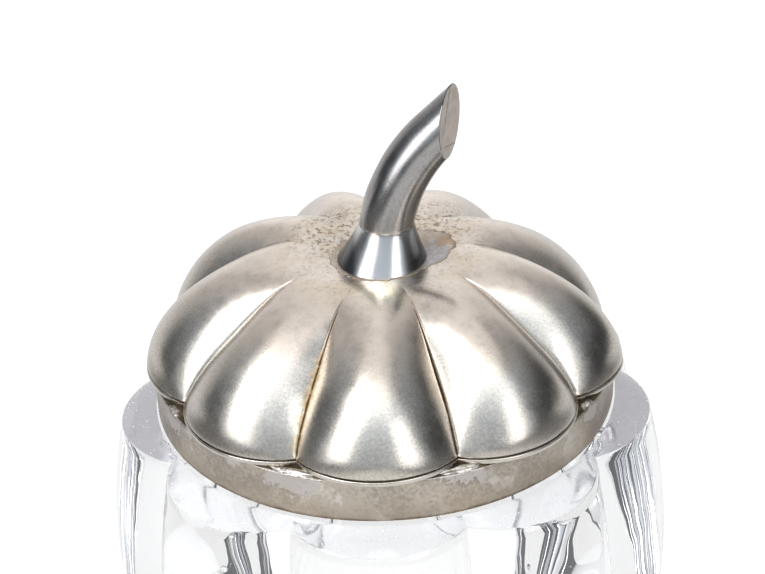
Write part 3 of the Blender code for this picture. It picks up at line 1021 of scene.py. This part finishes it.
def scatter_tree():
    """Small rounded crumbs half sunk in a surface, thickest where its mask attribute is 1."""
    tree = bpy.data.node_groups.new("Scattered crumbs", "GeometryNodeTree")
    work, given = named_inputs(tree, SCATTER_INPUTS)
    mask = work.stored("mask", "FLOAT")
    points = work.add(
        "GeometryNodeDistributePointsOnFaces",
        {"Mesh": given["Surface"], "Density": given["Density"] * mask, "Seed": given["Seed"]},
    )
    crumb = work.field("GeometryNodeMeshIcoSphere", {"Radius": 1.0, "Subdivisions": 2}, output="Mesh")
    spin = work.add("FunctionNodeRandomValue", {"Max": math.tau, "Seed": given["Seed"]}, data_type="FLOAT")
    turned = work.add(
        "FunctionNodeRotateRotation",
        {"Rotation": points.outputs["Rotation"], "Rotate By": work.vector(0.0, 0.0, spin.outputs[1])},
        rotation_space="LOCAL",
    )
    size = work.add("FunctionNodeRandomValue", {"Seed": given["Seed"] + 1.0}, data_type="FLOAT")
    work.put(given["Smallest"], size.inputs[2])
    work.put(given["Largest"], size.inputs[3])
    size = Field(work, size.outputs[1])
    instances = work.add(
        "GeometryNodeInstanceOnPoints",
        {
            "Points": points.outputs["Points"],
            "Instance": crumb,
            "Rotation": turned.outputs[0],
            "Scale": work.vector(size, size * given["Length"], size * given["Flatness"]),
        },
    )
    finish_tree(work, instances.outputs[0], given["Material"])
    return tree


def scatter(name, surface, mask, density, smallest, largest, material, seed=1, flatness=0.5, stretch=1.4):
    """mask says, for a point of the surface and its vertex number, how thick the crumbs lie there."""
    host = surface.copy()
    layer = host.attributes.new("mask", "FLOAT", "POINT")
    for i, vertex in enumerate(host.vertices):
        layer.data[i].value = mask(vertex.co, i)
    values = {
        "Density": density,
        "Seed": seed,
        "Smallest": smallest,
        "Largest": largest,
        "Flatness": flatness,
        "Length": stretch,
        "Material": material,
    }
    return show(name, run_tree(name, host, scatter_tree(), values), 60.0)


# Air bubbles in the barrel's wall: angle from the front in degrees, height and radius.
BUBBLE_DEPTH = 0.0022
BUBBLES = (
    (-34.0, 0.0362, 0.00042),
    (-31.0, 0.0351, 0.00026),
    (38.0, 0.0330, 0.00030),
    (155.0, 0.0280, 0.00036),
    (-118.0, 0.0200, 0.00028),
    (82.0, 0.0150, 0.00034),
)


class MELONJAR_OT_chips(JarOperator):
    """Scatters small white chips over the ground rim and sets a few bubbles in the crystal"""

    bl_idname = "melonjar.chips"
    bl_label = "Chips and bubbles"

    def make(self):
        surface = bpy.data.objects["crystal_jar"].data
        jar = settings().jar
        ground = [item.value for item in surface.attributes["ground"].data]

        def mask(point, index):
            edge = smooth((math.hypot(point.x, point.y) - jar.shoulder_radius) / 0.003)
            return ground[index] * (0.12 + 0.88 * edge)

        chips = scatter("rim_chips", surface, mask, 900000.0, 0.00003, 0.00010, chip_white(), seed=5)
        stand_for(chips, "jar", "crystal")
        self.bubbles(jar)

    def bubbles(self, jar):
        bm = bmesh.new()
        for degrees, z, radius in BUBBLES:
            place = at(math.radians(degrees), barrel_radius(jar, z) - BUBBLE_DEPTH, z)
            bmesh.ops.create_icosphere(bm, subdivisions=3, radius=radius, matrix=Matrix.Translation(place))
        mesh = bpy.data.meshes.new("bubbles")
        bm.to_mesh(mesh)
        bm.free()
        mesh.materials.append(air())
        stand_for(show("bubbles", mesh), "jar", "crystal")


# Lid.


class MELONJAR_OT_band(JarOperator):
    """Makes the round band that slips over the jar's neck, its edges eased"""

    bl_idname = "melonjar.band"
    bl_label = "Lid band"

    def make(self):
        outer, inner = BAND_HIGH.x, BAND_HIGH.x - settings().dome.band_thickness
        low, high, ease = BAND_LOW.z, BAND_HIGH.z, 0.00016
        levels = 14
        rows = [row(inner, low + ease / 2), row(inner + ease / 2, low)]
        rows += arc_rows(outer - ease, low + ease, ease, -90, 0, 4, face=(0.4, 0.0))
        for i in range(1, levels):
            rows.append(row(outer, low + ease + (high - low - 2 * ease) * i / levels, face=(1.0, 0.0)))
        rows += arc_rows(outer - ease, high - ease, ease, 0, 90, 4, face=(0.4, 0.0))
        rows += [row(inner + ease / 2, high), row(inner, high - ease / 2), row(inner, low + ease / 2)]
        dome = settings().dome
        more = {
            "Wave height": dome.wave_height * 0.7,
            "Wave size": dome.wave_size * 0.7,
            "Groove width": 0.0028,
        }
        mesh = lobed_turning("band", rows, dome.radius, dome.valley_radius, worn_silver(), **more)
        stand_for(show("band", mesh), "lid", "worn_silver", "lid_band")


class MELONJAR_OT_plate(JarOperator):
    """Makes the lobed rim plate with its rounded sawn edge, and the brown seams above and below it, which are
    tarnish and painted shade
    """

    bl_idname = "melonjar.plate"
    bl_label = "Rim plate"

    def make(self):
        dome = settings().dome
        low, high = PLATE_LOW.z, PLATE_HIGH.z
        crest, sunk = dome.radius + dome.overhang, (dome.radius - dome.valley_radius, 0.0)
        ease = 0.00014
        rows = [row(dome.hole_radius, low)]
        rows += arc_rows(crest - ease, low + ease, ease, -90, 0, 4, sink=sunk)
        rows += arc_rows(crest - ease, high - ease, ease, 0, 90, 4, sink=sunk)
        rows += [row(dome.hole_radius, high), row(dome.hole_radius, low)]
        mesh = lobed_turning("rim_plate", rows, dome.radius, dome.valley_radius, plate_silver(), True)
        stand_for(show("rim_plate", mesh), "lid", "satin_silver", "lid_rim_plate")
        # The seams are tarnish, and painted shade in the gaps under the dome's edge and under the plate.
        brown = seam_tarnish_and_shade()
        inner = dome.radius - 0.0009
        outer = dome.radius - 0.00024
        self.seam("dome_seam", high - 0.00002, DOME_LOW.z + 0.00004, inner, outer, sunk, brown)
        outer = BAND_HIGH.x - 0.00022
        self.seam("band_seam", BAND_HIGH.z - 0.00004, low + 0.00002, outer - 0.0016, outer, (0.0, 0.0), brown)

    def seam(self, name, low, high, inner, radius, sunk, material):
        dome = settings().dome
        rows = [row(inner, low, sunk), row(radius, low, sunk), row(radius, high, sunk)]
        rows += [row(inner, high, sunk), row(inner, low, sunk)]
        mesh = lobed_turning(name, rows, dome.radius, dome.valley_radius, material, True)
        stand_for(show(name, mesh), "lid", "solder")


class MELONJAR_OT_dome(JarOperator):
    """Makes the raised dome, hollow, with a chased line in each valley and the waves of handwork"""

    bl_idname = "melonjar.dome"
    bl_label = "Dome"

    def make(self):
        dome = settings().dome
        steps, inner_steps = 84, 30
        rows = [row(0.0, crown_z(0.0))]
        rows += [dome_row(dome, math.pi / 2 * i / steps, 0.0) for i in range(1, steps)]
        sunk = dome.radius - dome.valley_radius
        ease = 0.0001
        rows.append(row(dome.radius, DOME_LOW.z + ease, (sunk, 0.0)))
        rows.append(row(dome.radius - ease, DOME_LOW.z, (sunk, 0.0)))
        rows.append(row(dome.radius - dome.thickness, DOME_LOW.z, (sunk, 0.0)))
        under = [dome_row(dome, math.pi / 2 * i / inner_steps, dome.thickness) for i in range(1, inner_steps)]
        rows += list(reversed(under))
        rows.append(row(0.0, crown_z(0.0) - dome.thickness))
        mesh = lobed_turning(
            "dome",
            rows,
            dome.radius,
            dome.valley_radius,
            satin_silver(),
            True,
            **{
                "Groove depth": dome.groove_depth,
                "Groove width": dome.groove_width,
                "Wave height": dome.wave_height,
                "Wave size": dome.wave_size,
            },
        )
        stand_for(show("dome", mesh, 40.0), "lid", "satin_silver", "lid_dome")


# Knob.


def knob_turn():
    return Matrix.Rotation(settings().knob.turned, 4, "Z")


class MELONJAR_OT_foot(JarOperator):
    """Makes the knob's flared foot, with its rounded lower edge and the seam under the stalk"""

    bl_idname = "melonjar.foot"
    bl_label = "Knob foot"

    def make(self):
        knob = settings().knob
        angles = full_turn(128)
        low, high, ease = FOOT_LOW.z - 0.0003, FOOT_HIGH.z, 0.0002

        def ring(radius, z):
            part = (z - low) / (high - low)
            shift = knob.foot_offset + (knob.stalk_offset - knob.foot_offset) * part
            return [at(angle, radius, z) + Vector((shift, 0.0, 0.0)) for angle in angles]

        rings = [ring(knob.foot_radius - ease, low)]
        for i in range(1, 6):
            a = math.radians(-90 + 18 * i)
            rings.append(ring(knob.foot_radius - ease * (1 - math.cos(a)), low + ease * (1 + math.sin(a))))
        steps = 26
        for i in range(1, steps + 1):
            part = i / steps
            flare = (knob.foot_radius - knob.stalk_radius) * (1 - part) ** knob.foot_power
            radius = knob.stalk_radius + flare
            rings.append(ring(radius, low + ease + (high - low - ease) * part))
        mesh = loft("knob_foot", rings)
        mesh.transform(knob_turn())
        mesh.materials.append(polished_silver())
        stand_for(show("knob_foot", mesh), "lid", "polished_silver", "stalk_foot")
        joint = [ring(knob.stalk_radius - 0.00005, z) for z in (high - 0.0001, STALK_LOW.z + 0.0001)]
        mesh = loft("knob_joint", joint)
        mesh.transform(knob_turn())
        mesh.materials.append(tack_silver())
        stand_for(show("knob_joint", mesh), "lid", "solder")


class MELONJAR_OT_stalk(JarOperator):
    """Makes the bent stalk with its oblique cut end"""

    bl_idname = "melonjar.stalk"
    bl_label = "Stalk"

    def path(self, steps):
        """Centre line in the XZ plane as (x, z, lean): it leans more and more, then runs straight."""
        knob = settings().knob
        x, z = knob.stalk_offset, STALK_LOW.z
        pace = knob.stalk_length / steps
        points = []
        for i in range(steps + 1):
            lean = knob.base_lean + (knob.end_lean - knob.base_lean) * min(i * pace / knob.bend_length, 1.0)
            points.append((x, z, lean))
            x, z = x + pace * math.sin(lean), z + pace * math.cos(lean)
        return points

    def make(self):
        knob = settings().knob
        steps, sides = 103, 96
        points = self.path(steps)
        rings = []
        for i, (x, z, lean) in enumerate(points):
            radius = knob.stalk_radius + (knob.end_radius - knob.stalk_radius) * i / steps
            lean *= smooth(i * knob.stalk_length / steps / knob.stalk_radius)
            across = Vector((math.cos(lean), 0.0, -math.sin(lean)))
            ring = []
            for angle in full_turn(sides):
                offset = across * math.cos(angle) + Vector((0.0, math.sin(angle), 0.0))
                place = Vector((x, 0.0, z)) + offset * radius
                ring.append(place + offset * 0.00004 * noise.noise(place * 260.0))
            rings.append(ring)
        mesh = loft("stalk_rod", rings)
        cut_x, cut_z, _ = points[round(steps * knob.cut_at / knob.stalk_length)]
        level, turned = math.cos(knob.cut_tilt), knob.cut_turn
        normal = Vector((level * math.cos(turned), level * math.sin(turned), math.sin(knob.cut_tilt)))
        self.cut(mesh, Vector((cut_x, 0.0, cut_z)), normal)
        mesh.transform(knob_turn())
        mesh.materials.append(polished_silver())
        mesh.materials.append(filed_end())
        stand_for(show("stalk_rod", mesh, 60.0), "lid", "polished_silver", "stalk")

    def cut(self, mesh, place, normal):
        bm = bmesh.new()
        bm.from_mesh(mesh)
        geometry = bm.verts[:] + bm.edges[:] + bm.faces[:]
        cut = bmesh.ops.bisect_plane(bm, geom=geometry, plane_co=place, plane_no=normal, clear_outer=True)
        edges = [item for item in cut["geom_cut"] if isinstance(item, bmesh.types.BMEdge)]
        face = bmesh.ops.edgeloop_fill(bm, edges=edges)["faces"][0]
        ease = settings().knob.cut_bevel
        for inset, rise in ((0.35, 0.35), (0.35, 0.10), (1.0, 0.0)):
            bmesh.ops.inset_region(
                bm, faces=[face], thickness=ease * inset, depth=ease * rise, use_even_offset=False
            )
        face.material_index = 1
        bmesh.ops.recalc_face_normals(bm, faces=bm.faces)
        bm.to_mesh(mesh)
        bm.free()


SPILL_TURN = math.radians(105.0)
SPILL_SPREAD = 0.60


class MELONJAR_OT_knob_solder(JarOperator):
    """Runs the solder round the foot, spilt wide on the side that the stalk bends to"""

    bl_idname = "melonjar.knob_solder"
    bl_label = "Knob solder"

    def edge_radius(self, angle):
        knob = settings().knob
        ragged = noise.fractal(Vector((math.cos(angle), math.sin(angle), 0.3)) * 5.0, 0.6, 2.2, 5)
        away = (angle - SPILL_TURN + math.pi) % math.tau - math.pi
        spill = math.exp(-((away / SPILL_SPREAD) ** 2))
        plain = knob.collar_radius + knob.collar_wave * ragged
        return plain + (knob.spill_radius - knob.collar_radius) * spill

    def make(self):
        knob = settings().knob
        angles = full_turn(300)
        inner = knob.foot_radius - 0.0006
        steps = 22

        def ring(part, lift, under=0.0):
            points = []
            for angle in angles:
                radius = inner + (self.edge_radius(angle) - inner) * part
                rough = noise.fractal(at(angle, radius, 0.2) * 1400.0, 0.7, 2.1, 4) * 0.00005
                z = crown_z(radius) - under + lift * (knob.collar_thickness * 0.5 + rough)
                points.append(at(angle, radius, z))
            return points

        rings = [ring(0.0, 0.0, 0.0002)]
        shares = [0.0]
        for i in range(steps + 1):
            part = i / steps
            lift = (1 - part**6) ** 0.5 if part < 1 else 0.0
            rings.append(ring(part, 0.45 * lift + 0.02))
            shares.append(part)
        rings.append(ring(1.0, 0.0, 0.0002))
        shares.append(1.0)
        mesh = loft("knob_solder", rings, closed_tube=True)
        layer = mesh.attributes.new("edge", "FLOAT", "POINT")
        for i in range(len(mesh.vertices)):
            layer.data[i].value = shares[i // len(angles)]
        mesh.materials.append(solder_look())
        stand_for(show("knob_solder", mesh, 60.0), "lid", "solder", "stalk_solder")


class MELONJAR_OT_rim_solder(JarOperator):
    """Puts a tack of solder in each notch of the rim plate, and crumbs by the knob"""

    bl_idname = "melonjar.rim_solder"
    bl_label = "Solder tacks"

    def make(self):
        outline = settings().outline
        finish = tack_silver()
        for i in range(outline.lobes):
            self.tack(i, finish)
        self.crumbs(finish)

    def tack(self, number, finish):
        """A run of solder that climbs from the band's top edge to the plate."""
        node, name = f"rim_solder_{number + 1}", f"solder_tack_{number + 1}"
        valley = math.tau / settings().outline.lobes * (number + 0.5)
        valley += sum(edge for at_angle, _, edge in wanders() if abs(at_angle - valley) < WANDER_SPREAD)
        half_width = 0.0026 if abs(math.sin(valley)) < 0.5 and math.cos(valley) > 0 else 0.0012
        low = BAND_HIGH.z - 0.00002
        middle = (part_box(node)[0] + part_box(node)[1]) / 2
        radius = middle.xy.length
        mesh = bpy.data.meshes.new(name)
        bm = bmesh.new()
        bmesh.ops.create_icosphere(bm, subdivisions=4, radius=1.0)
        across, out = Vector((math.cos(valley), math.sin(valley), 0.0)), at(valley, 1.0, 0.0)
        for vertex in bm.verts:
            point = vertex.co
            lump = 1.0 + 0.35 * noise.noise(point * 1.6 + Vector((number * 3.1, 0.0, 0.0)))
            lump += 0.12 * noise.noise(point * 5.0 + Vector((number * 1.7, 4.0, 0.0)))
            place = out * radius + Vector((0.0, 0.0, low + 0.0001))
            place += across * point.x * half_width * lump + out * point.y * 0.00050 * lump
            vertex.co = place + Vector((0.0, 0.0, point.z * 0.00036 * lump))
        bm.to_mesh(mesh)
        bm.free()
        facing_out(mesh)
        mesh.materials.append(finish)
        stand_for(show(name, mesh, 60.0), "lid", "solder", node)

    def crumbs(self, finish):
        def mask(point, index):
            reach = point.xy.length
            if point.z < DOME_HIGH.z - 0.004 or reach < 0.0045:
                return 0.0
            behind = smooth((point.y + 0.001) / 0.006)
            return (0.15 + 0.85 * behind) * smooth((0.0125 - reach) / 0.004)

        surface = bpy.data.objects["dome"].data
        made = scatter("knob_crumbs", surface, mask, 900000.0, 0.00003, 0.00012, finish, 9, 0.25, 1.8)
        stand_for(made, "lid", "solder")


# Studio.

# How much paler the surroundings are where they're seen through the crystal.
THROUGH_CRYSTAL = 0.35


class MELONJAR_OT_studio(JarOperator):
    """Sets up the pale floor, the softboxes, the white surroundings and the camera"""

    bl_idname = "melonjar.studio"
    bl_label = "Studio"

    def make(self):
        scene = bpy.context.scene
        scene.view_settings.view_transform = "Standard"
        self.surroundings(scene)
        self.floor()
        studio = settings().studio
        self.softbox("left_softbox", -46.0, 35.0, 0.36, 0.180, 0.46, studio.left_box)
        self.softbox("right_softbox", 37.0, 18.0, 0.36, 0.130, 0.30, studio.right_box)
        self.camera(scene)

    def floor(self):
        bm = bmesh.new()
        bmesh.ops.create_circle(bm, cap_ends=True, segments=96, radius=3.0)
        mesh = bpy.data.meshes.new("floor")
        bm.to_mesh(mesh)
        bm.free()
        studio = settings().studio
        pale, dark = (0.3, 0.3, 0.3), (0.06, 0.06, 0.065)
        work, shader, made = new_finish("pale_floor", pale, 0.9, 0.0)
        shader.inputs["Specular IOR Level"].default_value = 0.0
        shader.inputs["Emission Color"].default_value = (1.0, 1.0, 1.0, 1.0)
        x, y, _ = work.parts(place_of(work))
        near = work.ramp((x * x + y * y).root(), 0.70, 0.30, studio.far_floor, studio.near_floor)
        glow = near.math("MAXIMUM", work.ramp(y, 0.0, 0.14, 0.0, studio.near_floor))
        middle = work.ramp(x.size(), 0.16, 0.07).math("MAXIMUM", work.ramp(y, 0.03, 0.12))
        glow = glow * (middle * 0.8 + 0.2)
        work.put(work.blend(middle, dark, pale), shader.inputs["Base Color"])
        path = work.add("ShaderNodeLightPath")
        through, seen = (Field(work, path.outputs[f"Is {kind} Ray"]) for kind in ("Transmission", "Camera"))
        clear = through * THROUGH_CRYSTAL + seen
        work.put(glow + (studio.seen_floor - glow) * clear, shader.inputs["Emission Strength"])
        mesh.materials.append(made)
        floor = bpy.data.objects.new("floor", mesh)
        bpy.context.scene.collection.objects.link(floor)

    def softbox(self, name, azimuth, elevation, distance, width, height, radiance):
        """A rectangular light that faces the lid; azimuth counts from the front towards +X, in degrees."""
        a, e = math.radians(azimuth), math.radians(elevation)
        away = Vector((math.sin(a) * math.cos(e), -math.cos(a) * math.cos(e), math.sin(e)))
        light = bpy.data.lights.new(name, "AREA")
        light.shape, light.size, light.size_y = "RECTANGLE", width, height
        light.energy = radiance * math.pi * width * height
        obj = bpy.data.objects.new(name, light)
        obj.location = Vector((0.0, 0.0, DOME_HIGH.z)) + away * distance
        obj.rotation_mode = "QUATERNION"
        obj.rotation_quaternion = away.to_track_quat("Z", "Y")
        bpy.context.scene.collection.objects.link(obj)

    def surroundings(self, scene):
        """White behind and above, grey in front, and a dark flag on each side."""
        world = bpy.data.worlds.new("studio")
        world.use_nodes = True
        work = Work(world.node_tree)
        world.node_tree.nodes.clear()
        direction = work.field("ShaderNodeTexCoord", output="Generated")
        x, y, z = work.parts(direction)
        azimuth = x.math("ARCTAN2", y * -1.0) * (180.0 / math.pi)
        rise = z.math("ARCSINE") * (180.0 / math.pi)
        around = azimuth.size()
        above = rise.hill(62.0, 14.0) * work.ramp(azimuth, -104.0, -84.0) * work.ramp(azimuth, 58.0, 36.0)
        front = work.ramp(rise, 14.0, 44.0, 0.60, 0.92) + above * 1.4
        left = work.ramp(rise, 10.0, 50.0, 0.10, 0.40)
        right = work.ramp(rise, 14.0, 48.0, 0.04, 0.38)
        back = work.ramp(rise, 24.0, -6.0, 0.50, 0.75) + around.hill(180.0, 26.0) * 0.42
        level = front + (right - front) * work.ramp(azimuth, 54.0, 68.0)
        level = level + (left - level) * work.ramp(azimuth, -62.0, -80.0)
        level = level + (back - level) * work.ramp(azimuth, 122.0, 146.0)
        level = level + (back - level) * work.ramp(azimuth, -104.0, -126.0)
        level = level.math("MAXIMUM", work.ramp(rise, 54.0, 72.0) * 0.86)
        cool = work.ramp(around, 130.0, 90.0) * work.ramp(rise, 68.0, 44.0)
        tinted = {"Red": level * (1.0 - 0.11 * cool), "Green": level, "Blue": level * (1.0 + 0.12 * cool)}
        colour = work.field("ShaderNodeCombineColor", tinted)
        seen = work.field("ShaderNodeBackground", {"Color": (1.0, 1.0, 1.0, 1.0), "Strength": 1.0})
        through = work.field("ShaderNodeLightPath", output="Is Transmission Ray")
        colour = work.blend(through * THROUGH_CRYSTAL, colour, (0.95, 0.95, 0.97))
        lit = work.field("ShaderNodeBackground", {"Color": colour, "Strength": 1.0})
        camera_ray = work.field("ShaderNodeLightPath", output="Is Camera Ray")
        mixed = work.add("ShaderNodeMixShader", {0: camera_ray, 1: lit, 2: seen})
        output = work.add("ShaderNodeOutputWorld")
        work.put(mixed.outputs[0], output.inputs["Surface"])
        scene.world = world

    def camera(self, scene):
        studio = settings().studio
        e, around = studio.elevation, Matrix.Rotation(studio.azimuth, 3, "Z")
        back = around @ Vector((0.0, -math.cos(e), math.sin(e)))
        up = around @ Vector((0.0, math.sin(e), math.cos(e)))
        right = around @ Vector((1.0, 0.0, 0.0))
        tilted_right = right * math.cos(studio.roll) + up * math.sin(studio.roll)
        tilted_up = up * math.cos(studio.roll) - right * math.sin(studio.roll)
        data = bpy.data.cameras.new("camera")
        data.lens, data.sensor_width = studio.lens, 36.0
        data.clip_start, data.clip_end = 0.01, 20.0
        camera = bpy.data.objects.new("camera", data)
        target = right * studio.target_x + Vector((0.0, 0.0, studio.target_z))
        axes = Matrix((tilted_right, tilted_up, back)).transposed().to_4x4()
        camera.matrix_world = Matrix.Translation(target + back * studio.distance) @ axes
        scene.collection.objects.link(camera)
        scene.camera = camera


PIECES = (
    MELONJAR_OT_studio,
    MELONJAR_OT_crystal,
    MELONJAR_OT_chips,
    MELONJAR_OT_band,
    MELONJAR_OT_plate,
    MELONJAR_OT_dome,
    MELONJAR_OT_foot,
    MELONJAR_OT_stalk,
    MELONJAR_OT_knob_solder,
    MELONJAR_OT_rim_solder,
)


GROUPS_SHOWN = ("outline", "jar", "dome", "knob", "finishes", "studio")


class MELONJAR_PT_panel(bpy.types.Panel):
    """Lists the pieces and the studio"""

    bl_label = "Melon jar"
    bl_idname = "MELONJAR_PT_panel"
    bl_space_type = "VIEW_3D"
    bl_region_type = "UI"
    bl_category = "Melon jar"

    def draw(self, context):
        for piece in PIECES:
            self.layout.operator(piece.bl_idname)
        for name in GROUPS_SHOWN:
            box = self.layout.box()
            box.label(text=name.title())
            group = getattr(context.scene.melon_jar, name)
            for key in group.bl_rna.properties.keys():
                if key not in ("rna_type", "name"):
                    box.prop(group, key)


GROUPS = (OutlineSizes, JarSizes, DomeSizes, KnobSizes, Finishes, StudioSettings, MelonJarSettings)


def register():
    for cls in (*GROUPS, *PIECES, MELONJAR_PT_panel):
        bpy.utils.register_class(cls)
    bpy.types.Scene.melon_jar = PointerProperty(type=MelonJarSettings)


def unregister():
    del bpy.types.Scene.melon_jar
    for cls in reversed((*GROUPS, *PIECES, MELONJAR_PT_panel)):
        bpy.utils.unregister_class(cls)


def main():
    register()
    for piece in PIECES:
        group, name = piece.bl_idname.split(".")
        getattr(getattr(bpy.ops, group), name)()


if __name__ == "__main__":
    main()
